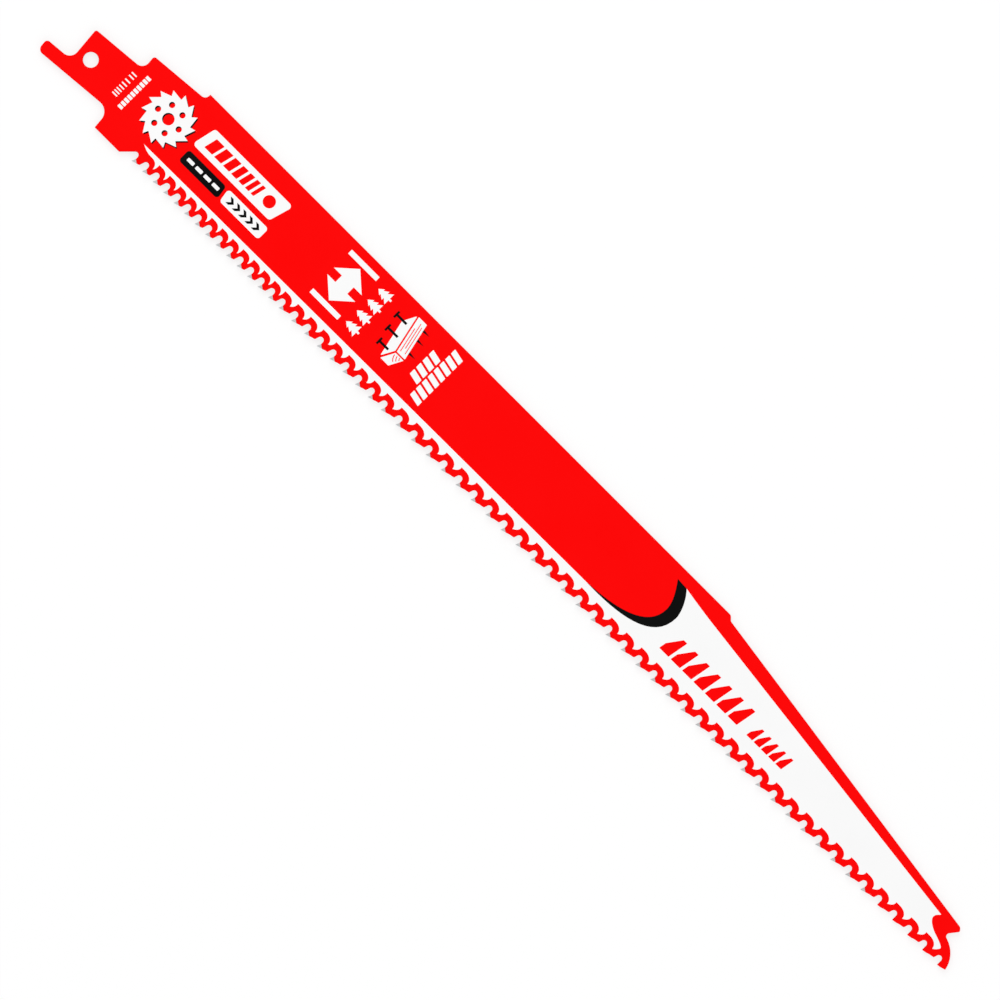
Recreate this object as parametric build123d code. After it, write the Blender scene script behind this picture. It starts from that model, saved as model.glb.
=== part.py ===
from build123d import *

import os
from itertools import accumulate
from math import cos, radians, sin, tan

# Reciprocating saw blade for rough cutting, lying on its side: one steel plate whose body leans
# towards the teeth against its tang, and a welded carbide tip on the seat of each tooth but the last few.
# Millimetres. The origin is the centre of the tang's hole, halfway through the plate. +X runs along
# the tang towards the nose, the teeth point to -Y, and +Z is the side that carries the print.

# Plate
plate_thickness = 1.27
droop = 5.0  # degrees from the tang's direction to the body's, towards the teeth

# Tang, along and across its own direction from the hole
hole_radius = 1.9
tang_width = 12.7
tang_behind_hole = 3.68
tang_ahead_of_hole = 11.1  # up to the two shoulders
prong_width = 3.38
prong_length = 7.57

# Body, along and across its own direction from the hole
neck_end = 26.16
neck_step_height = 1.61  # from the neck's end up to the back edge
back_height = 14.37
nose_step_height = 1.06  # the 45 degree step down where the back edge turns towards the nose
nose_slope = 8.14  # degrees
heel_depth = 10.78
tooth_line_depth = 10.21

# Teeth, finest beside the heel block
first_gullet = 23.64
fine_pitch = 3.556
middle_pitch = 4.318
coarse_pitch = 5.08
fine_count = 14
middle_count = 8
coarse_count = 37
steel_count = 5  # teeth without a tip, at the nose

# Gullet, with its round bottom between an upright face and a leaning wall
gullet_radius = 0.8
gullet_rise = 1.62  # its centre above the tooth line
wall_lean = 18.0
heel_block_lean = 45.0

# Steel of a tooth behind its point: the land that the seat cuts, and then two clearances
point_rise = 0.27  # the steel's own point above the tooth line
land_behind_seat = 0.19
land_angle = 8.5
back_length = 0.77
back_angle = 19.0
tail_angle = 10.4

# Carbide tip and its slanted seat, cut across the corner between face and land
seat_rise = 0.79
seat_run = 0.91
tip_lead = 0.42  # the cutting edge ahead of the steel's face
kerf = 2.0
tip_width_at_seat = 1.8

# Nose, back from the last tooth's heel and up from the tooth line
nose_land = 3.02
nose_front_radius = 7.1
nose_front_top = (4.75, 6.26)
nose_notch = (6.22, 6.75)
nose_beak = (3.9, 9.71)
nose_top = (4.65, 10.55)

# Rounding of the outline's corners
heel_root_round = 2.9
prong_outer_round = 1.4
prong_inner_round = 0.9
prong_root_round = 2.3
tang_corner_round = 0.6
shoulder_root_round = 2.0
shoulder_corner_round = 0.7
neck_step_round = 1.3
nose_step_round = 1.0
nose_top_round = 0.8
nose_beak_round = 0.5
nose_notch_round = 0.8
tooth_heel_round = 0.3

half_tang = tang_width / 2
tang_end = -tang_behind_hole
prong_end = tang_end - prong_length
prong_inside = prong_width - half_tang
gullet_y = gullet_rise - tooth_line_depth
steel_point_y = point_rise - tooth_line_depth

pitches = [fine_pitch] * fine_count + [middle_pitch] * middle_count + [coarse_pitch] * coarse_count
gullets = list(accumulate(pitches, initial=first_gullet))
tipped_gullets = gullets[: len(gullets) - steel_count]
nose_x = gullets[-1] + nose_land


def on_tang(x, y):
    """A point of the tang, given along and across the tang, in the body's directions."""
    return Vector(x, y).rotate(Axis.Z, droop)


def at_nose(place):
    """A point of the nose, given back from the last heel and up from the tooth line."""
    back, up = place
    return Vector(nose_x - back, up - tooth_line_depth)


def rounded_line(points, rounds):
    """Straight runs with rounded corners, each radius limited by the runs beside its corner."""
    runs = [end - start for start, end in zip(points, points[1:])]
    rounded = [False] + [radius > 0 for radius in rounds] + [False]
    room = [run.length / (1 + (a and b)) for run, a, b in zip(runs, rounded, rounded[1:])]
    limited = []
    for number, radius in enumerate(rounds):
        turn = radians(runs[number].get_angle(runs[number + 1]))
        limited.append(min(radius, 0.98 * min(room[number : number + 2]) / tan(turn / 2)))
    return FilletPolyline(*points, radius=limited)


def rising(start, length, angle):
    """The point a length further along the blade on a line that rises at an angle."""
    return start + Vector(length, length * tan(radians(angle)))


def wall_top(gullet_x, lean):
    """Where the leaning wall of a gullet leaves its round bottom."""
    angle = radians(lean)
    return Vector(gullet_x - gullet_radius * cos(angle), gullet_y + gullet_radius * sin(angle))


def up_to_wall(path, top, lean):
    """The path's points as far as the wall that leans down and back from its top, and the point there."""
    wall = Vector(-sin(radians(lean)), -cos(radians(lean)))
    for number, (start, end) in enumerate(zip(path, path[1:]), 1):
        before = wall.cross(start - top).Z
        after = wall.cross(end - top).Z
        if before * after <= 0:
            return path[:number] + [start + (end - start) * (before / (before - after))]
    raise ValueError("a tooth's back must reach the next wall")


def seat_points(gullet_x):
    """The two ends of a tip's seat, on the tooth's face and on its land."""
    face_x = gullet_x + gullet_radius
    top = Vector(face_x, steel_point_y + seat_rise)
    foot = rising(Vector(face_x, steel_point_y), seat_run, land_angle)
    return [top, foot]


def tooth_path(gullet_x):
    """A tooth's steel, down its face and back along its clearances past the next gullet."""
    face_top = Vector(gullet_x + gullet_radius, gullet_y)
    point = Vector(gullet_x + gullet_radius, steel_point_y)
    front = seat_points(gullet_x) if gullet_x in tipped_gullets else [point]
    land_end = rising(point, seat_run + land_behind_seat, land_angle)
    back_end = rising(land_end, back_length, back_angle)
    tail = rising(back_end, coarse_pitch + nose_land, tail_angle)
    return [face_top, *front, land_end, back_end, tail]


def tooth_line_edges():
    """The toothed edge from the heel block to the nose's lower corner, and that corner."""
    edges = [CenterArc((gullets[0], gullet_y), gullet_radius, 0, 180 - heel_block_lean)]
    for gullet_x, next_x in zip(gullets, gullets[1:]):
        top = wall_top(next_x, wall_lean)
        path = up_to_wall(tooth_path(gullet_x), top, wall_lean)
        sharp = [0] * (len(path) - 2)
        edges += rounded_line([*path, top], [*sharp, tooth_heel_round]).edges()
        edges.append(CenterArc((next_x, gullet_y), gullet_radius, 0, 180 - wall_lean))
    last = up_to_wall(tooth_path(gullets[-1]), Vector(nose_x, gullet_y), 0)
    edges += Polyline(*last).edges()
    return edges, last[-1]


def shank_edges():
    """The heel block, the tang with its prong and the neck, from the first gullet to the back edge."""
    corner_run = (-heel_depth - tang_ahead_of_hole * sin(radians(droop))) / cos(radians(droop))
    heel_corner = on_tang(tang_ahead_of_hole, corner_run)
    block_top = wall_top(first_gullet, heel_block_lean)
    under = [heel_corner, Vector(first_gullet, -heel_depth)]
    bottom = Polyline(*up_to_wall(under, block_top, heel_block_lean), block_top)
    neck_corner = Vector(neck_end, back_height - neck_step_height)
    neck_height = neck_corner.rotate(Axis.Z, -droop).Y
    corners = [
        heel_corner,
        on_tang(tang_ahead_of_hole, -half_tang),
        on_tang(prong_end, -half_tang),
        on_tang(prong_end, prong_inside),
        on_tang(tang_end, prong_inside),
        on_tang(tang_end, half_tang),
        on_tang(tang_ahead_of_hole, half_tang),
        on_tang(tang_ahead_of_hole, neck_height),
        neck_corner,
        Vector(neck_end, back_height),
    ]
    rounds = [
        heel_root_round,
        prong_outer_round,
        prong_inner_round,
        prong_root_round,
        tang_corner_round,
        shoulder_root_round,
        shoulder_corner_round,
        neck_step_round,
    ]
    return bottom.edges() + rounded_line(corners, rounds).edges()


def back_edges(nose_corner):
    """The back edge, its drop and the slope to the nose, and the nose's hooked front."""
    top = at_nose(nose_top)
    foot_y = back_height - nose_step_height
    foot_x = top.X - (foot_y - top.Y) / tan(radians(nose_slope))
    front_top = at_nose(nose_front_top)
    corners = [
        Vector(neck_end, back_height),
        Vector(foot_x - nose_step_height, back_height),
        Vector(foot_x, foot_y),
        top,
        at_nose(nose_beak),
        at_nose(nose_notch),
        front_top,
    ]
    rounds = [nose_step_round, nose_step_round, nose_top_round, nose_beak_round, nose_notch_round]
    return rounded_line(corners, rounds).edges() + [RadiusArc(front_top, nose_corner, nose_front_radius)]


def blade_body():
    """The steel plate, cut to its outline and drilled for the tang's pin."""
    teeth, nose_corner = tooth_line_edges()
    profile = make_face(teeth + shank_edges() + back_edges(nose_corner)) - Circle(hole_radius)
    return extrude(profile, plate_thickness / 2, both=True)


def carbide_tip(gullet_x):
    """One tip: a wedge on its seat, widest along its cutting edge so that the body clears the cut."""
    cutting_edge = Vector(gullet_x + gullet_radius - tip_lead, -tooth_line_depth)
    top, foot = seat_points(gullet_x)
    widths = ((cutting_edge, kerf), (top, tip_width_at_seat), (foot, tip_width_at_seat))
    return ConvexPolyhedron([(p.X, p.Y, side * w / 2) for p, w in widths for side in (-1, 1)])


os.makedirs("parts", exist_ok=True)
lean = Rot(0, 0, -droop)
export_step(lean * blade_body(), "parts/blade_body.step")
for number, gullet in enumerate(tipped_gullets, 1):
    export_step(lean * carbide_tip(gullet), f"parts/carbide_tip_{number:02d}.step")
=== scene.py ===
from collections import namedtuple
from math import atan2, cos, pi, radians, sin, tan

import bmesh
import bpy
from bpy.props import FloatProperty, FloatVectorProperty, IntProperty, PointerProperty
from bpy.types import Operator, Panel, PropertyGroup
from mathutils import Matrix, Vector


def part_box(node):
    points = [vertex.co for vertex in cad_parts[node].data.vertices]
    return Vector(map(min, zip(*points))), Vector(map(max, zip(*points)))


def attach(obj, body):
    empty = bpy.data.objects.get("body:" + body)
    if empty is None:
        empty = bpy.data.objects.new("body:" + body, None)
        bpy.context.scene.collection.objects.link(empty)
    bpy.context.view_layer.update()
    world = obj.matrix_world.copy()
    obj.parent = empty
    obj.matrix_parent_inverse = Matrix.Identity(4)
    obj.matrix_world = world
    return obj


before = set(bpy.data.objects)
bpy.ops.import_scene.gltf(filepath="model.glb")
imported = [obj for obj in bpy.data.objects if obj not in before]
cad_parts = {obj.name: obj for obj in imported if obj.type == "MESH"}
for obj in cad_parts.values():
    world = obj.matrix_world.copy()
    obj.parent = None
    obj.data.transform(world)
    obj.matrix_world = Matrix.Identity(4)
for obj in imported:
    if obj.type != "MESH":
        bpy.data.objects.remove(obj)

bl_info = {
    "name": "Reciprocating Saw Blade Finish",
    "version": (1, 0, 0),
    "blender": (4, 5, 0),
    "location": "3D View > Sidebar > Saw Blade",
    "description": "Coating, print, ground tips and studio for a reciprocating saw blade",
    "category": "Object",
}

# The print is laid out in millimetres on the blade's body: x runs from the tang's hole towards the
# nose and y from the teeth towards the back edge, both turned with the body's lean. The settings are
# in metres, as everything in Blender is.
MM = 0.001
TOLERANCE = 1e-6
CURVE_STEPS = 16  # pieces in each bend of a printed outline

# The gullets, as the teeth's cutting edges place them
EDGE_PAST_GULLET = 0.38
GULLET_ABOVE_EDGE = 1.62
STEEL_TEETH = 5  # at the nose, without a tip to find them by
FINE_PITCH_LIMIT = 4.7

Knot = namedtuple("Knot", "place back ahead", defaults=[(0, 0), (0, 0)])


def cutting_edge(tip):
    """The middle of a tip's cutting edge, which is where the tip is widest."""
    points = [vertex.co for vertex in tip.data.vertices]
    reach = max(abs(point.z) for point in points)
    edge = [point for point in points if abs(point.z) > reach - TOLERANCE]
    return sum(edge, Vector()) / len(edge)


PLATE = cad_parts["blade_body"]
TIPS = [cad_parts[name] for name in sorted(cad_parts) if name.startswith("carbide_tip")]
EDGES = [cutting_edge(tip) for tip in TIPS]
ALONG = EDGES[-1] - EDGES[0]
LEAN_ANGLE = atan2(ALONG.y, ALONG.x)
LEAN = Matrix.Rotation(LEAN_ANGLE, 4, "Z")
FACE_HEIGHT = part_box("blade_body")[1].z
HALF_KERF = max(vertex.co.z for vertex in TIPS[0].data.vertices)


def gullet_centres():
    """The centres of the gullets' round bottoms, in the body's millimetres."""
    on_body = [LEAN.inverted() @ edge / MM for edge in EDGES]
    centres = [Vector((edge.x - EDGE_PAST_GULLET, edge.y + GULLET_ABOVE_EDGE)) for edge in on_body]
    pitch = centres[-1] - centres[-2]
    return centres + [centres[-1] + pitch * step for step in range(1, STEEL_TEETH + 1)]


GULLETS = gullet_centres()


def length_setting(name, description, millimetres):
    """A length that a user may change, kept in metres."""
    return FloatProperty(name=name, description=description, unit="LENGTH", default=millimetres * MM)


def place_setting(name, description, place):
    """A place that a user may change, kept in metres."""
    return FloatVectorProperty(
        name=name, description=description, subtype="TRANSLATION", size=2,
        default=tuple(millimetres * MM for millimetres in place),
    )


def colour_setting(name, description, colour):
    """A colour that a user may change."""
    return FloatVectorProperty(
        name=name, description=description, subtype="COLOR", size=3, min=0, max=1, default=colour,
    )


def count_setting(name, description, count, least=1):
    """A number of like parts that a user may change."""
    return IntProperty(name=name, description=description, min=least, default=count)


def row_settings(name, shapes, foot, width, height, pitch, count):
    """A property group for a row of like shapes, its lengths given in millimetres."""
    settings = {
        "foot": place_setting("Foot", f"Foot of the first of the {shapes}", foot),
        "width": length_setting("Width", f"Width of each of the {shapes}", width),
        "height": length_setting("Height", f"Height of each of the {shapes}", height),
        "pitch": length_setting("Pitch", f"Step between the {shapes}", pitch),
        "count": count_setting("Count", f"Number of {shapes}", count),
    }
    return type(name, (PropertyGroup,), {"__doc__": f"The {shapes}.", "__annotations__": settings})


class PlateSettings(PropertyGroup):
    """The red coating of the plate."""

    colour: colour_setting("Coating", "Colour of the coating", (0.98, 0.0, 0.0))
    # The edge colour is painted shade: a darker red laid on the plate's rounded and cut edges in place of
    # the light they lose.
    edge_shade_colour: colour_setting("Edge", "Colour of the coating over the plate's edges", (0.62, 0.0, 0.0))
    edge_round: length_setting("Edge round", "Rounding that the coating gives the plate's edges", 0.09)
    peel: length_setting("Peel", "Depth of the coating's orange peel", 0.006)


class TipSettings(PropertyGroup):
    """The ground carbide tips and their welds."""

    colour: colour_setting("Carbide", "Colour of the ground carbide", (0.78, 0.79, 0.8))
    edge_round: length_setting("Edge round", "Rounding of the tips' ground edges", 0.025)
    weld_reach: length_setting("Weld", "Reach of the weld beside a tip's seat", 0.2)


class InkSettings(PropertyGroup):
    """The printed films."""

    white: colour_setting("White ink", "Colour of the white print", (0.95, 0.95, 0.95))
    black: colour_setting("Black ink", "Colour of the black print", (0.003, 0.003, 0.003))
    thickness: length_setting("Film", "Thickness of one printed film", 0.02)


class FieldSettings(PropertyGroup):
    """The white field beside the teeth, whose edge keeps its distance from each gullet."""

    rim: length_setting("Rim", "Height of the red rim over a gullet's centre", 2.38)
    rim_flat: length_setting("Rim flat", "Length of the rim's flat top from its shoulder", 1.2)
    fine_shoulder: length_setting("Fine shoulder", "Run of the rim behind a fine gullet", 1.28)
    coarse_shoulder: length_setting("Coarse shoulder", "Run of the rim behind a coarse gullet", 1.47)
    spur_past: length_setting("Spur", "Run of the field's spur past a gullet, before its share", 0.8)
    spur_share: FloatProperty(
        name="Spur share", description="What the spur's run gains with the pitch",
        subtype="FACTOR", min=0, max=1, default=0.29,
    )
    spur_height: length_setting("Spur height", "Height of the spur's point over the gullets", 0.56)


LargeTeethSettings = row_settings(
    "LargeTeethSettings", "large saw teeth in the white field",
    foot=(195.9, -3.3), width=3.1, height=5.45, pitch=3.85, count=7,
)
SmallTeethSettings = row_settings(
    "SmallTeethSettings", "small saw teeth in the white field",
    foot=(225.4, -3.3), width=1.95, height=3.65, pitch=2.45, count=5,
)


class TickSettings(PropertyGroup):
    """The ticks across the shank, which stand further and further apart."""

    foot: place_setting("Foot", "Foot of the first tick", (10.65, -1.9))
    width: length_setting("Width", "Width of a tick", 0.34)
    height: length_setting("Height", "Height of a tick", 1.6)


DashSettings = row_settings(
    "DashSettings", "dashes across the shank",
    foot=(13.65, -3.3), width=0.78, height=1.36, pitch=1.05, count=10,
)


class BadgeSettings(PropertyGroup):
    """The plain saw disc on the shank."""

    centre: place_setting("Centre", "Centre of the disc", (23.2, 3.1))
    radius: length_setting("Radius", "Radius to the disc's points", 7.0)
    points: count_setting("Points", "Number of points round the disc", 14, least=3)
    bore_radius: length_setting("Bore", "Radius of the hole in the middle", 1.5)
    ring_radius: length_setting("Ring", "Distance of the small holes from the middle", 3.5)
    hole_radius: length_setting("Hole", "Radius of a small hole", 0.75)
    hole_count: count_setting("Holes", "Number of small holes", 6)
    shade: place_setting("Shade", "Offset of the black shade from the disc", (0.4, -0.12))


class BandSettings(PropertyGroup):
    """The slanted white band with its graded red bars and its spot."""

    foot: place_setting("Foot", "The band's lower corner nearest the tang", (31.43, 3.0))
    length: length_setting("Length", "Length of the band's lower edge", 25.97)
    height: length_setting("Height", "Height of the band", 6.37)
    corner: length_setting("Corner", "Radius of the band's corners", 0.9)
    bar_foot: place_setting("Bars", "Foot of the first bar", (34.0, 4.45))
    bar_height: length_setting("Bar height", "Height of a bar", 3.5)
    bar_width: length_setting("Bar width", "Width of the first and widest bar", 2.62)
    bar_step: length_setting("Bar step", "What each bar is narrower than the one before", 0.27)
    bar_gap: length_setting("Bar gap", "White between two bars", 0.66)
    bar_count: count_setting("Bar count", "Number of bars", 7)
    spot_centre: place_setting("Spot", "Centre of the red spot", (54.3, 6.2))
    spot_radius: length_setting("Spot radius", "Radius of the red spot", 1.6)


class BarSettings(PropertyGroup):
    """The two-tone bar, black and then white."""

    foot: place_setting("Foot", "The bar's lower corner nearest the tang", (31.9, -2.15))
    height: length_setting("Height", "Height of the bar", 3.6)
    corner: length_setting("Corner", "Radius of the bar's corners", 0.85)
    black_length: length_setting("Black end", "Length of the black end's lower edge", 13.1)
    white_length: length_setting("White end", "Length of the white end's lower edge", 12.95)
    gap: length_setting("Gap", "Red between the two ends", 0.8)
    dash_pitch: length_setting("Dash pitch", "Step between the white dashes", 2.8)
    dash_count: count_setting("Dashes", "White dashes on the black end", 4)
    arrow_pitch: length_setting("Arrow pitch", "Step between the black arrowheads", 2.15)
    arrow_count: count_setting("Arrows", "Black arrowheads on the white end", 5)


class ArrowSettings(PropertyGroup):
    """The bold two-ended arrow between its stops."""

    foot: place_setting("Foot", "Foot of the sign", (85.8, -0.4))
    length: length_setting("Length", "Length from point to point", 10.6)
    height: length_setting("Height", "Height of the heads", 9.4)
    head: length_setting("Head", "Length of one head", 4.2)
    shaft: length_setting("Shaft", "Height of the shaft", 4.0)
    stop: length_setting("Stop", "Width of a stop", 1.3)
    stop_gap: length_setting("Stop gap", "Red between a point and its stop", 0.6)


TreeSettings = row_settings(
    "TreeSettings", "fir trees", foot=(91.85, -1.0), width=3.3, height=4.3, pitch=3.65, count=4,
)


class PlankSettings(PropertyGroup):
    """The plank with nails through it."""

    foot: place_setting("Foot", "Foot of the sign", (105.2, -2.2))
    corner: length_setting("Corner", "Radius of the corners of its faces", 0.12)
    grain_width: length_setting("Grain", "Width of the lines of grain", 0.22)
    ring_width: length_setting("Rings", "Width of the rings on its end", 0.24)


class BlockSettings(PropertyGroup):
    """The form of the slanted blocks in both of their rows."""

    corner: length_setting("Corner", "Radius of a block's corners", 0.15)
    slant: length_setting("Slant", "How far a block's top leans past its foot", 0.7)


UpperBlockSettings = row_settings(
    "UpperBlockSettings", "upper blocks", foot=(110.3, 0.2), width=1.55, height=3.1, pitch=2.15, count=4,
)
LowerBlockSettings = row_settings(
    "LowerBlockSettings", "lower blocks", foot=(114.1, -3.3), width=1.42, height=3.3, pitch=1.98, count=8,
)


class StudioSettings(PropertyGroup):
    """The camera, the lamps and the floor."""

    focal_length: FloatProperty(
        name="Focal length", description="Focal length of the camera", unit="CAMERA", default=500.0,
    )
    view_width: length_setting("View width", "Width of the view on the printed face", 239.6)
    view_turn: FloatProperty(
        name="View turn", description="Turn of the camera about its line of sight",
        subtype="ANGLE", default=radians(40),
    )
    view_centre: place_setting("View centre", "Point of the frame at the view's middle", (142.91, -17.77))
    floor_size: length_setting("Floor", "Length of the floor's sides", 12000)
    floor_glow: FloatProperty(
        name="Floor glow", description="Share of the floor's white that no shadow darkens",
        subtype="FACTOR", min=0, max=1, default=0.78,
    )
    sky: FloatProperty(name="Sky", description="Strength of the light from all round", default=0.6)
    key_power: FloatProperty(
        name="Key lamp", description="Power of the lamp on the back edge's side", unit="POWER",
        default=11.0,
    )
    fill_power: FloatProperty(
        name="Fill lamp", description="Power of the lamp on the teeth's side", unit="POWER", default=7.8,
    )


SETTINGS = {
    "blade_plate": PlateSettings,
    "blade_tips": TipSettings,
    "blade_inks": InkSettings,
    "blade_field": FieldSettings,
    "blade_large_teeth": LargeTeethSettings,
    "blade_small_teeth": SmallTeethSettings,
    "blade_ticks": TickSettings,
    "blade_dashes": DashSettings,
    "blade_badge": BadgeSettings,
    "blade_band": BandSettings,
    "blade_bar": BarSettings,
    "blade_arrow": ArrowSettings,
    "blade_trees": TreeSettings,
    "blade_plank": PlankSettings,
    "blade_blocks": BlockSettings,
    "blade_upper_blocks": UpperBlockSettings,
    "blade_lower_blocks": LowerBlockSettings,
    "blade_studio": StudioSettings,
}


def only(piece):
    """Leaves one object selected and active."""
    bpy.ops.object.select_all(action="DESELECT")
    piece.select_set(True)
    bpy.context.view_layer.objects.active = piece


def apply_place(piece):
    """Moves the piece's place into its mesh."""
    only(piece)
    bpy.ops.object.transform_apply(location=True, rotation=True, scale=True)


def set_material(piece, finish):
    """Gives a piece or a CAD node this material alone."""
    piece.data.materials.clear()
    piece.data.materials.append(finish)


def finish_piece(piece, finish):
    """Gives a finished piece its material and slot, and rides it on the blade."""
    set_material(piece, finish)
    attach(piece, "root")


# Outlines of the print


def straight(points):
    """Knots of an outline of straight runs."""
    return [Knot(point) for point in points]


def bend_handle(radius, turn):
    """The length of the handles that make a bend of this turn round."""
    return radius * 4 / 3 * tan(turn / 4)


def rounded(points, radius):
    """Knots of a closed outline of straight runs with rounded corners."""
    places = [Vector(point) for point in points]
    knots = []
    for number, place in enumerate(places):
        back = (places[number - 1] - place).normalized()
        ahead = (places[(number + 1) % len(places)] - place).normalized()
        angle = back.angle(ahead)
        cut = radius / tan(angle / 2)
        handle = bend_handle(radius, pi - angle)
        knots.append(Knot(place + back * cut, ahead=-back * handle))
        knots.append(Knot(place + ahead * cut, back=-ahead * handle))
    return knots


def polar(radius, angle):
    """The point at an angle round the origin."""
    return Vector((radius * cos(angle), radius * sin(angle)))


def arc(centre, radius, start, turn):
    """Knots of an open arc."""
    handle = bend_handle(radius, turn)
    end = start + turn
    return [
        Knot(centre + polar(radius, start), ahead=polar(handle, start + pi / 2)),
        Knot(centre + polar(radius, end), back=polar(handle, end - pi / 2)),
    ]


def circle(centre, radius):
    """Knots of a round outline."""
    handle = bend_handle(radius, pi / 2)
    knots = []
    for quarter in range(4):
        angle = quarter * pi / 2
        ahead = polar(handle, angle + pi / 2)
        knots.append(Knot(Vector(centre) + polar(radius, angle), back=-ahead, ahead=ahead))
    return knots


def placed(knots, place, turn=0.0):
    """Knots turned about their origin and moved to a place on the body."""
    spin = Matrix.Rotation(turn, 2)
    origin = Vector(place)
    return [
        Knot(origin + spin @ Vector(knot.place), spin @ Vector(knot.back), spin @ Vector(knot.ahead))
        for knot in knots
    ]


def row(knots, pitch, count, start=(0, 0)):
    """Copies of an outline in a row along the blade, the first at the start."""
    return [placed(knots, (start[0] + pitch * step, start[1])) for step in range(count)]


def upright(outlines, place):
    """Outlines drawn on a level line, stood up so that they read from the teeth to the back edge."""
    return [placed(knots, place, pi / 2) for knots in outlines]


def upright_row(knots, settings):
    """A row of copies of an outline, by its settings, stood up in the same way."""
    return upright(row(knots, settings.pitch / MM, settings.count), in_mm(settings.foot))


def reverse(knots):
    """The same outline, run the other way."""
    return [Knot(knot.place, back=knot.ahead, ahead=knot.back) for knot in reversed(knots)]


def in_mm(place):
    """A place from the settings in the print's millimetres."""
    return Vector(place) / MM


def block(width, height, radius, slant=0.0):
    """A rounded block of print with its foot at the origin, leaning like italics by its slant."""
    return rounded([(0, 0), (width, 0), (width + slant, height), (slant, height)], radius)


def print_film(name, outlines, finish, layer):
    """Makes a film of ink with these outlines: an outline inside another is a hole in it."""
    bpy.ops.object.select_all(action="DESELECT")
    bpy.ops.curve.primitive_bezier_curve_add()
    piece = bpy.context.object
    piece.name = name
    curve = piece.data
    curve.splines.clear()
    curve.dimensions = "2D"
    curve.fill_mode = "BOTH"
    curve.resolution_u = CURVE_STEPS
    for knots in outlines:
        spline = curve.splines.new("BEZIER")
        spline.use_cyclic_u = True
        spline.bezier_points.add(len(knots) - 1)
        for point, knot in zip(spline.bezier_points, placed(knots, (0, 0), LEAN_ANGLE)):
            set_knot(point, knot)
    only(piece)
    bpy.ops.object.convert(target="MESH")
    piece = bpy.context.object
    check_filled(piece)
    film = bpy.context.scene.blade_inks.thickness
    solidify = piece.modifiers.new("film", "SOLIDIFY")
    solidify.thickness = film / MM
    solidify.offset = 1
    bpy.ops.object.modifier_apply(modifier=solidify.name)
    piece.location.z = FACE_HEIGHT + film * (layer - 1)
    piece.scale = (MM, MM, MM)
    apply_place(piece)
    bpy.ops.object.mode_set(mode="EDIT")
    bpy.ops.mesh.select_all(action="SELECT")
    bpy.ops.mesh.normals_make_consistent(inside=False)
    bpy.ops.object.mode_set(mode="OBJECT")
    piece.data.name = name
    finish_piece(piece, finish)


def check_filled(piece):
    """Raises an error where the fill of a flat piece stops short of its outlines."""
    flat = bmesh.new()
    flat.from_mesh(piece.data)
    rim = sum(edge.is_boundary for edge in flat.edges)
    corners = len(flat.verts)
    flat.free()
    if rim != corners:
        raise RuntimeError(f"{piece.name}: {rim} edges round the fill, and {corners} points")


def set_knot(point, knot):
    """Sets a curve's point: a side without a handle runs straight to its neighbour."""
    point.co = knot.place.to_3d()
    for side, handle in (("left", knot.back), ("right", knot.ahead)):
        free = handle.length > 0
        setattr(point, f"handle_{side}_type", "FREE" if free else "VECTOR")
        if free:
            setattr(point, f"handle_{side}", (knot.place + handle).to_3d())


def print_white(name, outlines, layer=1):
    """Makes a white film, on the coating or in a layer over another film."""
    print_film(name, outlines, material("white_print_ink", white_ink), layer)


def print_black(name, outlines, layer=1):
    """Makes a black film, on the coating or in a layer over another film."""
    print_film(name, outlines, material("black_print_ink", black_ink), layer)


# Materials

SATIN_SPECULAR = 0.05  # of the coating and the inks


def set_socket(tree, socket, value):
    """Gives a socket a link, or else a value of its own."""
    if isinstance(value, bpy.types.NodeSocket):
        tree.links.new(value, socket)
    else:
        socket.default_value = value


def set_inputs(tree, node, **inputs):
    """Sets a node's sockets; an underscore stands for a space in a socket's name."""
    for name, value in inputs.items():
        set_socket(tree, node.inputs[name.replace("_", " ")], value)


def new_node(tree, kind, **inputs):
    """A new node with its sockets set."""
    made = tree.nodes.new(kind)
    set_inputs(tree, made, **inputs)
    return made


def math_node(tree, operation, *values):
    """The result of a math node on these values, each a link or a number."""
    made = tree.nodes.new("ShaderNodeMath")
    made.operation = operation
    for socket, value in zip(made.inputs, values):
        set_socket(tree, socket, value)
    return made.outputs["Value"]


def object_noise(tree, feature, stretch=(1, 1, 1), detail=2.0):
    """Noise on Object coordinates with features of a size in metres, drawn out along each axis."""
    place = new_node(tree, "ShaderNodeTexCoord").outputs["Object"]
    mapping = new_node(tree, "ShaderNodeMapping", Vector=place, Scale=[1 / length for length in stretch])
    drawn_out = mapping.outputs["Vector"]
    noise = new_node(tree, "ShaderNodeTexNoise", Vector=drawn_out, Scale=1 / feature, Detail=detail)
    return noise.outputs["Fac"]


def spread(tree, value, low, high, start=0.3, end=0.7):
    """A value carried from a texture's range to a range of its own."""
    span = new_node(
        tree, "ShaderNodeMapRange", Value=value, From_Min=start, From_Max=end, To_Min=low, To_Max=high,
    )
    return span.outputs["Result"]


def blended(tree, factor, low, high):
    """A colour between two, by a factor."""
    mix = tree.nodes.new("ShaderNodeMix")
    mix.data_type = "RGBA"
    colours = [socket for socket in mix.inputs if socket.type == "RGBA"]
    colours[0].default_value = (*low, 1)
    colours[1].default_value = (*high, 1)
    set_inputs(tree, mix, Factor=factor)
    return next(socket for socket in mix.outputs if socket.type == "RGBA")


def bumped(tree, height, distance, under=None):
    """A normal raised by a height, over another normal where one is given."""
    bump = new_node(tree, "ShaderNodeBump", Height=height, Distance=distance)
    if under is not None:
        set_inputs(tree, bump, Normal=under)
    return bump.outputs["Normal"]


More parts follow.
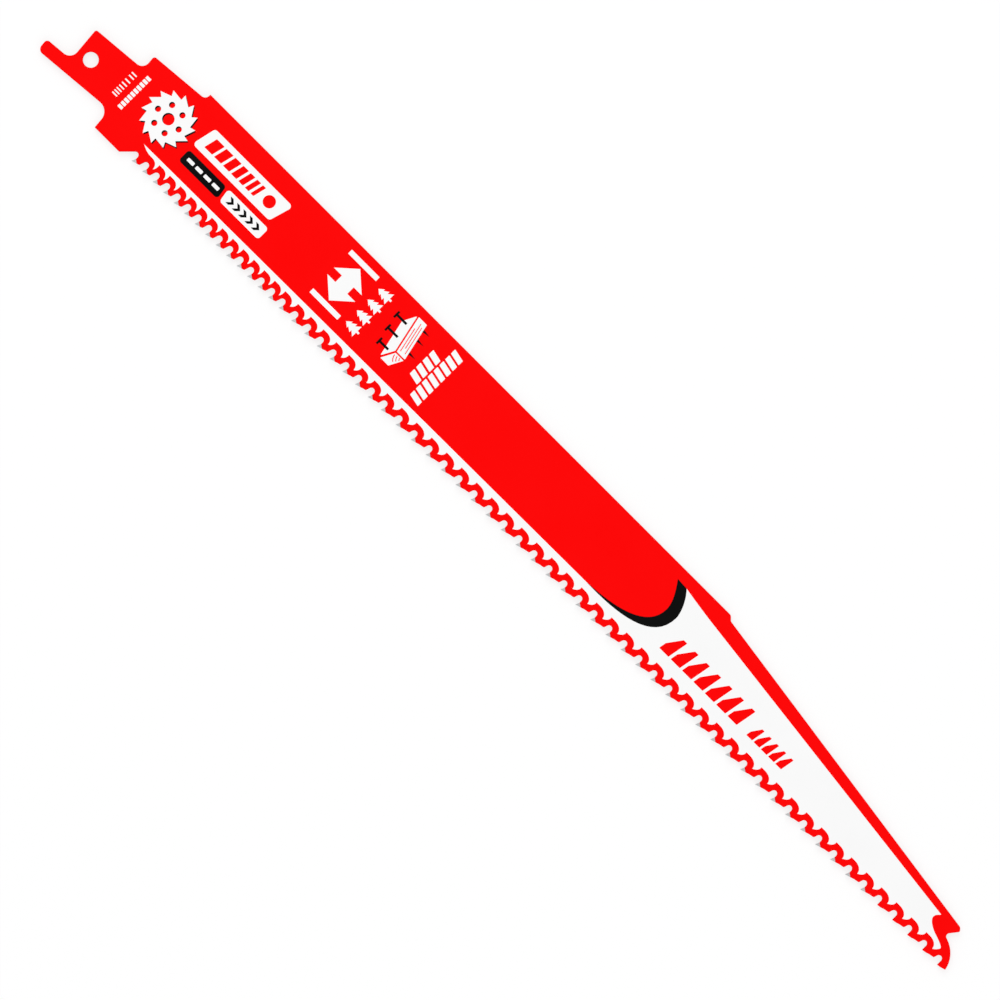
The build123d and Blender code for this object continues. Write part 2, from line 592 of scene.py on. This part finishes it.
def group_outputs(tree, name, build):
    """The outputs of a node that holds the group of that name, which is built on its first use."""
    group = bpy.data.node_groups.get(name)
    if group is None:
        group = bpy.data.node_groups.new(name, "ShaderNodeTree")
        values = build(group)
        for output in values:
            group.interface.new_socket(output, in_out="OUTPUT", socket_type="NodeSocketFloat")
        new_node(group, "NodeGroupOutput", **values)
    made = tree.nodes.new("ShaderNodeGroup")
    made.node_tree = group
    return made.outputs


def coat_skin(group):
    """The skin of the cured coating, which the ink over it follows too."""
    broad = object_noise(group, feature=0.9 * MM)
    fine = object_noise(group, feature=0.16 * MM, detail=3)
    fine_share = 0.3
    return {
        "Peel": math_node(group, "MULTIPLY_ADD", fine, fine_share, broad),
        "Mottle": object_noise(group, feature=14 * MM, detail=4),
    }


def grind_lines(group):
    """Fine lines along the blade, left by a wheel."""
    return {"Lines": object_noise(group, feature=0.035 * MM, stretch=(14, 1, 1), detail=3)}


def material(name, build):
    """The material of that name, which is built on its first use."""
    found = bpy.data.materials.get(name)
    if found is None:
        found = bpy.data.materials.new(name)
        found.use_nodes = True
        build(found.node_tree, found.node_tree.nodes["Principled BSDF"])
    return found


def red_coating(tree, shader):
    """Satin red powder coating, darker and with the shear's lines under it at the plate's edges."""
    settings = bpy.context.scene.blade_plate
    skin = group_outputs(tree, "coat_skin", coat_skin)
    facing = new_node(tree, "ShaderNodeTexCoord").outputs["Normal"]
    split = new_node(tree, "ShaderNodeSeparateXYZ", Vector=facing)
    level = math_node(tree, "ABSOLUTE", split.outputs["Z"])  # 1 on the faces and 0 on the cut edges
    # Painted shade: how far the surface turns from the faces, which darkens the red towards the edge
    # colour
    edge_shade_mask = spread(tree, level, low=1, high=0, start=0.2, end=0.97)
    shear = object_noise(tree, feature=0.09 * MM, stretch=(1, 1, 12))
    rounding_ends = 0.4  # level where an edge's rounding gives way to the cut
    cut_edge = math_node(tree, "LESS_THAN", level, rounding_ends)
    lines = bumped(tree, math_node(tree, "MULTIPLY", shear, cut_edge), distance=0.012 * MM)
    set_inputs(
        tree, shader,
        # The base colour carries painted shade on the edges, not a darker coating
        Base_Color=blended(tree, edge_shade_mask, settings.colour, settings.edge_shade_colour),
        Roughness=spread(tree, skin["Mottle"], low=0.34, high=0.44),
        Specular_IOR_Level=SATIN_SPECULAR,
        Normal=bumped(tree, skin["Peel"], settings.peel, under=lines),
    )


def ink(tree, shader, colour, thin_colour):
    """A screened ink over the coating: its colour, satin skin and fine grain."""
    skin = group_outputs(tree, "coat_skin", coat_skin)
    cover = spread(tree, skin["Mottle"], low=0, high=1)
    set_inputs(
        tree, shader,
        Base_Color=blended(tree, cover, thin_colour, colour),
        Roughness=spread(tree, skin["Mottle"], low=0.5, high=0.58),
        Specular_IOR_Level=SATIN_SPECULAR,
        Normal=bumped(tree, skin["Peel"], distance=0.004 * MM),
    )


def white_ink(tree, shader):
    """White print, a little greyer where it is thin."""
    white = Vector(bpy.context.scene.blade_inks.white)
    ink(tree, shader, white, thin_colour=white * 0.985)


def black_ink(tree, shader):
    """Black print, a little lighter where it is thin."""
    black = Vector(bpy.context.scene.blade_inks.black)
    ink(tree, shader, black, thin_colour=black * 1.8)


def ground_carbide(tree, shader):
    """Grey carbide with the grinding wheel's fine lines."""
    colour = Vector(bpy.context.scene.blade_tips.colour)
    groove_colour = colour * 0.86
    lines = group_outputs(tree, "grind_lines", grind_lines)["Lines"]
    set_inputs(
        tree, shader,
        Base_Color=blended(tree, spread(tree, lines, low=0, high=1), groove_colour, colour),
        Metallic=0.4,
        Roughness=spread(tree, lines, low=0.3, high=0.46),
        Normal=bumped(tree, lines, distance=0.003 * MM),
    )


# The plate and the tips


class SAWBLADE_OT_coat_plate(Operator):
    """Coat the plate in red and round its edges"""

    bl_idname = "sawblade.coat_plate"
    bl_label = "Plate"

    def execute(self, context):
        set_material(PLATE, material("red_coating_satin", red_coating))
        merge_doubles(PLATE)
        flats = PLATE.modifiers.new("flats", "DECIMATE")
        flats.decimate_type = "DISSOLVE"
        flats.angle_limit = radians(0.5)
        soften_edges(PLATE, context.scene.blade_plate.edge_round, segments=3)
        return {"FINISHED"}


def merge_doubles(node):
    """Joins a CAD node's loose triangles, by a live modifier."""
    merge = node.modifiers.new("merge", "WELD")
    merge.merge_threshold = TOLERANCE


def soften_edges(node, width, segments):
    """Rounds a CAD node's sharp edges, by a live modifier."""
    bevel = node.modifiers.new("edges", "BEVEL")
    bevel.width = width
    bevel.segments = segments
    bevel.limit_method = "ANGLE"
    bevel.angle_limit = radians(35)
    bevel.use_clamp_overlap = False
    bevel.harden_normals = True


class SAWBLADE_OT_finish_tips(Operator):
    """Give the carbide tips their ground finish"""

    bl_idname = "sawblade.finish_tips"
    bl_label = "Tips"

    def execute(self, context):
        for tip in TIPS:
            set_material(tip, material("carbide_ground", ground_carbide))
            merge_doubles(tip)
            soften_edges(tip, context.scene.blade_tips.edge_round, segments=2)
        return {"FINISHED"}


def seat_ends(tip):
    """The two ends of a tip's seat, on the plate's face: the corners furthest from its cutting edge."""
    edge = cutting_edge(tip).to_2d()
    digits = 6  # after the point, which takes the corners of a tip's two sides as one
    corners = {vertex.co.to_2d().to_tuple(digits) for vertex in tip.data.vertices}
    far = sorted(corners, key=lambda corner: (Vector(corner) - edge).length)[-2:]
    return [Vector((*corner, FACE_HEIGHT)) for corner in far]


def weld_bead(half_run, reach):
    """One weld along x: a half-round bead, with its foot sunk into the face that it stands on."""
    cut_depth = 0.25 * reach  # the cut's tolerance leaves the foot deeper
    bpy.ops.object.select_all(action="DESELECT")
    bpy.ops.mesh.primitive_uv_sphere_add(segments=12, ring_count=8, radius=reach)
    bead = bpy.context.object
    bpy.ops.object.mode_set(mode="EDIT")
    bpy.ops.mesh.select_all(action="SELECT")
    bpy.ops.mesh.bisect(plane_co=(0, 0, -cut_depth), plane_no=(0, 0, 1), use_fill=True, clear_inner=True)
    bpy.ops.mesh.select_all(action="SELECT")
    bpy.ops.transform.resize(value=(half_run / reach, 1, 1))
    bpy.ops.object.mode_set(mode="OBJECT")
    bpy.ops.object.shade_smooth_by_angle(angle=radians(50))
    return bead


class SAWBLADE_OT_weld_tips(Operator):
    """Lay a small weld along each side of each tip's seat"""

    bl_idname = "sawblade.weld_tips"
    bl_label = "Welds"

    def execute(self, context):
        seats = [seat_ends(tip) for tip in TIPS]
        start, end = seats[0]
        half_run = 0.46 * (end - start).length  # stops short of both ends of the seat
        bead = weld_bead(half_run, context.scene.blade_tips.weld_reach)
        welds = []
        for start, end in seats:
            middle = (start + end) / 2
            along = end - start
            turn = Matrix.Rotation(atan2(along.y, along.x), 4, "Z")
            for side, roll in ((1, 0.0), (-1, pi)):
                weld = bead.copy()
                weld.data = bead.data.copy()
                place = Matrix.Translation((middle.x, middle.y, side * middle.z))
                weld.matrix_world = place @ turn @ Matrix.Rotation(roll, 4, "X")
                context.collection.objects.link(weld)
                welds.append(weld)
        bpy.data.objects.remove(bead)
        bpy.ops.object.select_all(action="DESELECT")
        for weld in welds:
            weld.select_set(True)
        context.view_layer.objects.active = welds[0]
        bpy.ops.object.join()
        piece = context.object
        piece.name = piece.data.name = "seat_welds"
        apply_place(piece)
        finish_piece(piece, material("red_coating_satin", red_coating))
        return {"FINISHED"}


# The white field and the shade round the red panel's end

FIELD_TIP = (23.28, -5.27)
FIELD_UNDER_TIP = (25.38, -6.07)  # where the edge beside the teeth turns up to the tip
FIELD_SLOPE = (200.0, 9.92)  # where the field's upper edge takes the slope of the back

# The field's end at the nose, from its upper corner round the nose's hook
FIELD_NOSE = [
    Knot((288.9, -0.73)),
    Knot((287.9, -2.4), back=(0, 0.9), ahead=(0, -1.1)),
    Knot((290.9, -4.9), back=(-1.0, 0.4), ahead=(1.2, -0.4)),
    Knot((294.48, -6.6), back=(0, 0.6), ahead=(-0.1, -0.2)),
]

# The shade's outer edge, and the panel's rounded end in it, both from the panel's lower edge up
PANEL_END = (172.5, -4.5)
SHADE_OUTER = [
    Knot(PANEL_END, ahead=(10.5, -0.3)),
    Knot((193.8, 4.6), back=(0, -8.25), ahead=(0, 1.6)),
    Knot((190.55, 11.36), back=(2.0, -2.0)),
]
SHADE_INNER = [
    Knot(PANEL_END, ahead=(9.0, 0.48)),
    Knot((190.66, 4.5), back=(0, -6.8), ahead=(0, 2.3)),
    Knot((187.42, 11.53), back=(1.6, -2.2)),
]

# Handles of the field's edge over a gullet
SPUR_SLOPE = Vector((0.7, 0.32))  # shares of the room up to the next shoulder
SPUR_RISE = (0, 1.12)
CROWN_SHARE = 0.55  # of the run between the spur and the rim's flat top
SHOULDER_DROP = (0.14, -0.85)


def shoulder_of(number):
    """Where the red rim over a gullet ends in a corner, behind the gullet."""
    field = bpy.context.scene.blade_field
    gullet = GULLETS[number]
    pitch = gullet.x - GULLETS[number - 1].x
    run = field.fine_shoulder if pitch < FINE_PITCH_LIMIT else field.coarse_shoulder
    return gullet + in_mm((-run, field.rim))


def rim_over(number):
    """The field's edge over one gullet, from the spur ahead of it back to its shoulder."""
    field = bpy.context.scene.blade_field
    gullet = GULLETS[number]
    shoulder = shoulder_of(number)
    pitch = GULLETS[number + 1].x - gullet.x
    spur_past = field.spur_past + field.spur_share * pitch * MM
    spur = gullet + in_mm((spur_past, field.spur_height))
    crown = shoulder + in_mm((field.rim_flat, 0))
    room = shoulder_of(number + 1).x - spur.x
    return [
        Knot(spur, back=SPUR_SLOPE * room, ahead=SPUR_RISE),
        Knot(crown, back=(CROWN_SHARE * (spur.x - crown.x), 0)),
        Knot(shoulder, ahead=SHOULDER_DROP),
    ]


def field_teeth():
    """The field's edge beside the teeth, from the nose back to the field's tip."""
    knots = []
    for number in range(len(GULLETS) - 2, 0, -1):
        knots += rim_over(number)
    knots[-1] = Knot(FIELD_UNDER_TIP, back=(1.0, -0.2), ahead=(-0.9, 0.2))
    return knots


def tooth_row(settings, slant, radius):
    """A row of plain saw teeth with their points up and ahead."""
    width = settings.width / MM
    height = settings.height / MM
    back_top = 0.62 * width  # where the tooth's back reaches its top
    kink = 0.35  # share of the height where its back turns ahead
    corners = [
        (0, 0),
        (width, 0),
        (width + slant, height),
        (back_top + slant, height),
        (slant * kink, height * kink),
    ]
    tooth = rounded(corners, radius)
    return row(tooth, settings.pitch / MM, settings.count, in_mm(settings.foot))


class SAWBLADE_OT_print_field(Operator):
    """Print the white field beside the teeth"""

    bl_idname = "sawblade.print_field"
    bl_label = "White Field"

    def execute(self, context):
        *round_shade, shade_top = SHADE_OUTER
        outline = [
            Knot(FIELD_TIP),
            *round_shade,
            shade_top._replace(ahead=(1.5, -0.3)),
            Knot(FIELD_SLOPE, back=(-2.0, 0.25)),
            *FIELD_NOSE,
            *field_teeth(),
        ]
        large_teeth = tooth_row(context.scene.blade_large_teeth, slant=1.0, radius=0.15)
        small_teeth = tooth_row(context.scene.blade_small_teeth, slant=0.65, radius=0.1)
        print_white("white_field", [outline, *large_teeth, *small_teeth])
        return {"FINISHED"}


class SAWBLADE_OT_print_shade(Operator):
    """Print the black shade round the panel's end"""

    bl_idname = "sawblade.print_shade"
    bl_label = "Black Shade"

    def execute(self, context):
        outer_end, *outer = SHADE_OUTER
        inner_end, *inner = SHADE_INNER
        meeting = outer_end._replace(back=inner_end.ahead)
        print_black("black_shade", [[meeting, *outer, *reverse(inner)]])
        return {"FINISHED"}


# The print on the shank and the panel

TICK_PLACES = (0.0, 0.75, 1.5, 2.35, 3.3, 4.4, 5.65, 6.6)  # from fine to coarse

# How far the top of an end or a bar leans past its foot
BAND_START_LEAN = 1.44
BAND_END_LEAN = 1.85
BAND_BAR_LEAN = 0.85
BAR_SPLIT_LEAN = -0.6

# Where the first dash and the first arrowhead start on the middle line of their ends of the bar
DASH_LENGTH = 2.1
DASH_HEIGHT = 0.9
FIRST_DASH = Vector((1.3, -DASH_HEIGHT / 2))
FIRST_ARROW = Vector((1.1, 0))

# The plank with its length along x, as it is drawn before it is stood up
PLANK_SIDE = [(4.6, 1.2), (14.2, 3.3), (14.2, 6.0), (4.6, 3.9)]
PLANK_TOP = [(1.2, 6.1), (4.5, 4.3), (14.1, 6.4), (10.7, 8.2)]
PLANK_END = [(0.8, 3.0), (4.2, 1.2), (4.2, 3.9), (0.8, 5.7)]
PLANK_GRAIN = [(5.6, 12.9, 0.55), (6.6, 13.4, 1.23), (5.3, 11.6, 1.91)]  # start, stop, over the edge
PLANK_RINGS = (1.0, 1.75, 2.5)  # radii round the end's corner nearest the eye
RING_START = radians(100)
RING_TURN = radians(40)
DRIVEN_NAILS = [(3.5, 9.0, 3.3), (7.2, 9.8, 3.6), (10.9, 10.5, 3.6)]  # place, top and length
NAIL_POINTS = [(6.4, 1.5, 2.0), (10.0, 2.3, 2.0), (12.6, 2.9, 2.0)]


class SAWBLADE_OT_print_shank_marks(Operator):
    """Print two rows of small marks across the shank"""

    bl_idname = "sawblade.print_shank_marks"
    bl_label = "Shank Marks"

    def execute(self, context):
        settings = context.scene.blade_ticks
        tick = block(settings.width / MM, settings.height / MM, radius=0.08)
        ticks = [placed(tick, (along, 0)) for along in TICK_PLACES]
        dashes = context.scene.blade_dashes
        dash = block(dashes.width / MM, dashes.height / MM, radius=0.12)
        print_white("shank_marks", upright(ticks, in_mm(settings.foot)) + upright_row(dash, dashes))
        return {"FINISHED"}


def saw_disc(radius, points):
    """A round outline with leaning points like a circular saw's."""
    root_radius = 0.8 * radius
    step = 2 * pi / points
    rise = 0.85 * step  # the turn from a point's root to its tip
    fall = 0.08 * step  # and from its tip to the next root
    corners = []
    for number in range(points):
        root = number * step
        tip = root + rise
        corners += [polar(root_radius, root), polar(radius, tip), polar(root_radius, tip + fall)]
    return straight(corners)


class SAWBLADE_OT_print_badge(Operator):
    """Print a plain saw disc with a thin black shade"""

    bl_idname = "sawblade.print_badge"
    bl_label = "Badge"

    def execute(self, context):
        badge = context.scene.blade_badge
        disc = [saw_disc(badge.radius / MM, badge.points), circle((0, 0), badge.bore_radius / MM)]
        for number in range(badge.hole_count):
            centre = polar(badge.ring_radius / MM, number * 2 * pi / badge.hole_count)
            disc.append(circle(centre, badge.hole_radius / MM))
        disc_place = in_mm(badge.centre)
        shade_place = disc_place + in_mm(badge.shade)
        print_black("badge_shade", [placed(knots, shade_place) for knots in disc])
        print_white("badge_disc", [placed(knots, disc_place) for knots in disc], layer=2)
        return {"FINISHED"}


class SAWBLADE_OT_print_band(Operator):
    """Print the slanted white band with its graded red bars"""

    bl_idname = "sawblade.print_band"
    bl_label = "Slanted Band"

    def execute(self, context):
        settings = context.scene.blade_band
        length = settings.length / MM
        height = settings.height / MM
        corners = [(0, 0), (length, 0), (length + BAND_END_LEAN, height), (BAND_START_LEAN, height)]
        band = placed(rounded(corners, settings.corner / MM), in_mm(settings.foot))
        bars = []
        place = in_mm(settings.bar_foot)
        for step in range(settings.bar_count):
            width = (settings.bar_width - settings.bar_step * step) / MM
            bar = block(width, settings.bar_height / MM, radius=0.12, slant=BAND_BAR_LEAN)
            bars.append(placed(bar, place))
            place.x += width + settings.bar_gap / MM
        spot = circle(in_mm(settings.spot_centre), settings.spot_radius / MM)
        print_white("slanted_band", [band, *bars, spot])
        return {"FINISHED"}


class SAWBLADE_OT_print_bar(Operator):
    """Print the two-tone bar, black and then white, with plain marks in it"""

    bl_idname = "sawblade.print_bar"
    bl_label = "Two-Tone Bar"

    def execute(self, context):
        settings = context.scene.blade_bar
        height = settings.height / MM
        radius = settings.corner / MM
        black = settings.black_length / MM
        white = settings.white_length / MM
        black_foot = in_mm(settings.foot)
        white_foot = black_foot + in_mm((settings.black_length + settings.gap, 0))
        black_end = rounded([(0, 0), (black, 0), (black + BAR_SPLIT_LEAN, height), (0, height)], radius)
        white_end = rounded([(0, 0), (white, 0), (white, height), (BAR_SPLIT_LEAN, height)], radius)
        print_black("bar_black_end", [placed(black_end, black_foot)])
        print_white("bar_white_end", [placed(white_end, white_foot)])
        middle = Vector((0, height / 2))
        dash = block(DASH_LENGTH, DASH_HEIGHT, radius=0.2)
        first_dash = black_foot + middle + FIRST_DASH
        dashes = row(dash, settings.dash_pitch / MM, settings.dash_count, first_dash)
        print_white("bar_dashes", dashes, layer=2)
        arrow = chevron(depth=1.0, height=1.9, arm=0.9)
        first_arrow = white_foot + middle + FIRST_ARROW
        arrows = row(arrow, settings.arrow_pitch / MM, settings.arrow_count, first_arrow)
        print_black("bar_arrows", arrows, layer=2)
        return {"FINISHED"}


def chevron(depth, height, arm):
    """A plain arrowhead that points along x."""
    half = height / 2
    return straight([(0, -half), (arm, -half), (arm + depth, 0), (arm, half), (0, half), (depth, 0)])


class SAWBLADE_OT_print_length(Operator):
    """Print a bold two-ended arrow across the blade"""

    bl_idname = "sawblade.print_length"
    bl_label = "Length Arrow"

    def execute(self, context):
        settings = context.scene.blade_arrow
        length = settings.length / MM
        height = settings.height / MM
        head = settings.head / MM
        far_head = length - head
        middle = height / 2
        half_shaft = settings.shaft / MM / 2
        low = middle - half_shaft
        high = middle + half_shaft
        arrow = straight([
            (0, middle), (head, 0), (head, low), (far_head, low), (far_head, 0), (length, middle),
            (far_head, height), (far_head, high), (head, high), (head, height),
        ])
        width = settings.stop / MM
        gap = settings.stop_gap / MM
        stop = block(width, height, radius=0.1)
        stops = [placed(stop, (-gap - width, 0)), placed(stop, (length + gap, 0))]
        print_white("length_arrow", upright([arrow, *stops], in_mm(settings.foot)))
        return {"FINISHED"}


def tree_sign(width, height):
    """A plain fir tree with its trunk's foot at the origin."""
    tiers = 3
    trunk_height = 0.16 * height
    trunk_side = 0.08 * width
    narrowing = 0.2  # of each tier against the one below
    waist = 0.38  # share of a tier's reach left at its top
    tier = (height - trunk_height) / tiers
    right = [(trunk_side, 0), (trunk_side, trunk_height)]
    for step in range(tiers):
        reach = width / 2 * (1 - narrowing * step)
        base = trunk_height + step * tier
        right += [(reach, base), (reach * waist, base + tier)]
    right[-1] = (0, height)
    left = [(-x, y) for x, y in reversed(right[:-1])]
    return straight(right + left)


class SAWBLADE_OT_print_trees(Operator):
    """Print a row of plain fir trees across the blade"""

    bl_idname = "sawblade.print_trees"
    bl_label = "Tree Row"

    def execute(self, context):
        settings = context.scene.blade_trees
        tree = tree_sign(settings.width / MM, settings.height / MM)
        print_white("tree_row", upright_row(tree, settings))
        return {"FINISHED"}


def grain_line(start, stop, over_edge, width):
    """A line of grain along the plank's side, at a height over its lower edge."""
    near, far = Vector(PLANK_SIDE[0]), Vector(PLANK_SIDE[1])
    rise = (far.y - near.y) / (far.x - near.x)
    low = near.y + (start - near.x) * rise + over_edge
    high = low + (stop - start) * rise
    return straight([(start, low), (stop, high), (stop, high + width), (start, low + width)])


def ring_arc(radius, width):
    """A thin arc on the plank's end, round its corner nearest the eye."""
    centre = Vector(PLANK_END[1])
    inner = arc(centre, radius, RING_START, RING_TURN)
    outer = arc(centre, radius + width, RING_START, RING_TURN)
    return inner + reverse(outer)


def driven_nail(x, top, length):
    """A nail's head and shank, standing on the plank."""
    half_shank = 0.3
    half_head = 0.95
    low = top - length
    neck = top - 0.55
    return straight([
        (x - half_shank, low), (x + half_shank, low), (x + half_shank, neck), (x + half_head, neck),
        (x + half_head, top), (x - half_head, top), (x - half_head, neck), (x - half_shank, neck),
    ])


def nail_point(x, top, length):
    """A nail's point, coming out below the plank."""
    half_shank = 0.32
    return straight([(x - half_shank, top), (x, top - length), (x + half_shank, top)])


class SAWBLADE_OT_print_plank(Operator):
    """Print a plank with nails through it"""

    bl_idname = "sawblade.print_plank"
    bl_label = "Plank"

    def execute(self, context):
        settings = context.scene.blade_plank
        radius = settings.corner / MM
        foot = in_mm(settings.foot)
        faces = [rounded(corners, radius) for corners in (PLANK_SIDE, PLANK_TOP, PLANK_END)]
        grain = [grain_line(*line, settings.grain_width / MM) for line in PLANK_GRAIN]
        rings = [ring_arc(ring, settings.ring_width / MM) for ring in PLANK_RINGS]
        print_white("plank", upright(faces + grain + rings, foot))
        driven = [driven_nail(*nail) for nail in DRIVEN_NAILS]
        points = [nail_point(*nail) for nail in NAIL_POINTS]
        print_black("plank_nails", upright(driven + points, foot), layer=2)
        return {"FINISHED"}


class SAWBLADE_OT_print_blocks(Operator):
    """Print two rows of slanted blocks across the blade"""

    bl_idname = "sawblade.print_blocks"
    bl_label = "Block Rows"

    def execute(self, context):
        form = context.scene.blade_blocks
        blocks = []
        for settings in (context.scene.blade_upper_blocks, context.scene.blade_lower_blocks):
            size = settings.width / MM, settings.height / MM
            blocks += upright_row(block(*size, form.corner / MM, form.slant / MM), settings)
        print_white("block_rows", blocks)
        return {"FINISHED"}


# The stage

KEY_OFFSET = Vector((-0.75, 0.75, 1.25))  # from the middle of the blade
KEY_SIZE = 1.2
FILL_OFFSET = Vector((0.95, -0.85, 1.0))
FILL_SIZE = 1.5
FLOOR_BOUNCE = (0.75, 0.75, 0.75)  # the floor's colour to all but the camera
SKY_LOW = 0.6  # strength of the sky near the horizon in reflections
SKY_OVERHEAD = 0.06


class SAWBLADE_OT_set_stage(Operator):
    """Set the floor, the lamps and the camera"""

    bl_idname = "sawblade.set_stage"
    bl_label = "Stage"

    def execute(self, context):
        settings = context.scene.blade_studio
        bpy.ops.object.select_all(action="DESELECT")
        under_tips = (0, 0, -HALF_KERF - TOLERANCE)
        bpy.ops.mesh.primitive_plane_add(size=settings.floor_size, location=under_tips)
        floor = context.object
        floor.name = "floor"
        floor.data.materials.append(material("floor_white", floor_white))
        set_world(context.scene, settings)
        add_lamp("key_lamp", KEY_OFFSET, KEY_SIZE, settings.key_power)
        add_lamp("fill_lamp", FILL_OFFSET, FILL_SIZE, settings.fill_power)
        add_camera(settings)
        context.scene.view_settings.view_transform = "Standard"
        return {"FINISHED"}


def floor_white(tree, shader):
    """White to the camera, with a share of it that no shadow darkens."""
    glow = bpy.context.scene.blade_studio.floor_glow
    seen = new_node(tree, "ShaderNodeLightPath").outputs["Is Camera Ray"]
    grey = 1 - glow
    set_inputs(
        tree, shader,
        Base_Color=blended(tree, seen, FLOOR_BOUNCE, (grey, grey, grey)),
        Roughness=1,
        Specular_IOR_Level=0,
        Emission_Color=(1, 1, 1, 1),
        Emission_Strength=math_node(tree, "MULTIPLY", seen, glow),
    )


def set_world(scene, settings):
    """A white background, with a sky that is darker overhead in reflections."""
    world = bpy.data.worlds.new("studio")
    scene.world = world
    world.use_nodes = True
    tree = world.node_tree
    path = new_node(tree, "ShaderNodeLightPath").outputs
    place = new_node(tree, "ShaderNodeTexCoord").outputs["Generated"]
    height = new_node(tree, "ShaderNodeSeparateXYZ", Vector=place).outputs["Z"]
    sky = spread(tree, height, SKY_LOW, SKY_OVERHEAD, start=0.1, end=0.8)
    glossy = math_node(tree, "MULTIPLY", path["Is Glossy Ray"], sky)
    lit = math_node(tree, "MULTIPLY", path["Is Diffuse Ray"], settings.sky)
    seen = math_node(tree, "MAXIMUM", path["Is Camera Ray"], path["Is Transmission Ray"])
    strength = math_node(tree, "MAXIMUM", math_node(tree, "MAXIMUM", glossy, lit), seen)
    set_inputs(tree, tree.nodes["Background"], Color=(1, 1, 1, 1), Strength=strength)


def add_lamp(name, offset, size, power):
    """A square soft lamp, aimed at the middle of the blade."""
    low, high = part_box("blade_body")
    bpy.ops.object.light_add(type="AREA", location=(low + high) / 2 + offset)
    lamp = bpy.context.object
    lamp.name = name
    lamp.rotation_euler = (-offset).to_track_quat("-Z", "Y").to_euler()
    lamp.data.shape = "SQUARE"
    lamp.data.size = size
    lamp.data.energy = power


def add_camera(settings):
    """A long lens over the blade, looking straight down."""
    bpy.ops.object.camera_add(rotation=(0, 0, settings.view_turn))
    camera = bpy.context.object
    camera.data.lens = settings.focal_length
    distance = settings.view_width * settings.focal_length / camera.data.sensor_width
    camera.location = (*settings.view_centre, FACE_HEIGHT + distance)
    bpy.context.scene.camera = camera


STEPS = [
    SAWBLADE_OT_coat_plate,
    SAWBLADE_OT_finish_tips,
    SAWBLADE_OT_weld_tips,
    SAWBLADE_OT_print_field,
    SAWBLADE_OT_print_shade,
    SAWBLADE_OT_print_shank_marks,
    SAWBLADE_OT_print_badge,
    SAWBLADE_OT_print_band,
    SAWBLADE_OT_print_bar,
    SAWBLADE_OT_print_length,
    SAWBLADE_OT_print_trees,
    SAWBLADE_OT_print_plank,
    SAWBLADE_OT_print_blocks,
    SAWBLADE_OT_set_stage,
]


class SAWBLADE_PT_finish(Panel):
    """The blade's finishing steps, in order, and their settings"""

    bl_label = "Saw Blade"
    bl_idname = "SAWBLADE_PT_finish"
    bl_space_type = "VIEW_3D"
    bl_region_type = "UI"
    bl_category = "Saw Blade"

    def draw(self, context):
        for step in STEPS:
            self.layout.operator(step.bl_idname)
        for name, group in SETTINGS.items():
            box = self.layout.box()
            for prop in group.__annotations__:
                box.prop(getattr(context.scene, name), prop)


def register():
    for kind in (*SETTINGS.values(), *STEPS, SAWBLADE_PT_finish):
        bpy.utils.register_class(kind)
    for name, group in SETTINGS.items():
        setattr(bpy.types.Scene, name, PointerProperty(type=group))


def unregister():
    for name in SETTINGS:
        delattr(bpy.types.Scene, name)
    for kind in (SAWBLADE_PT_finish, *reversed(STEPS), *reversed(SETTINGS.values())):
        bpy.utils.unregister_class(kind)


def main():
    """Finishes the blade, step by step, and writes its size before and after."""
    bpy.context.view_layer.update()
    register()
    for step in STEPS:
        group, name = step.bl_idname.split(".")
        getattr(getattr(bpy.ops, group), name)()


if __name__ == "__main__":
    main()
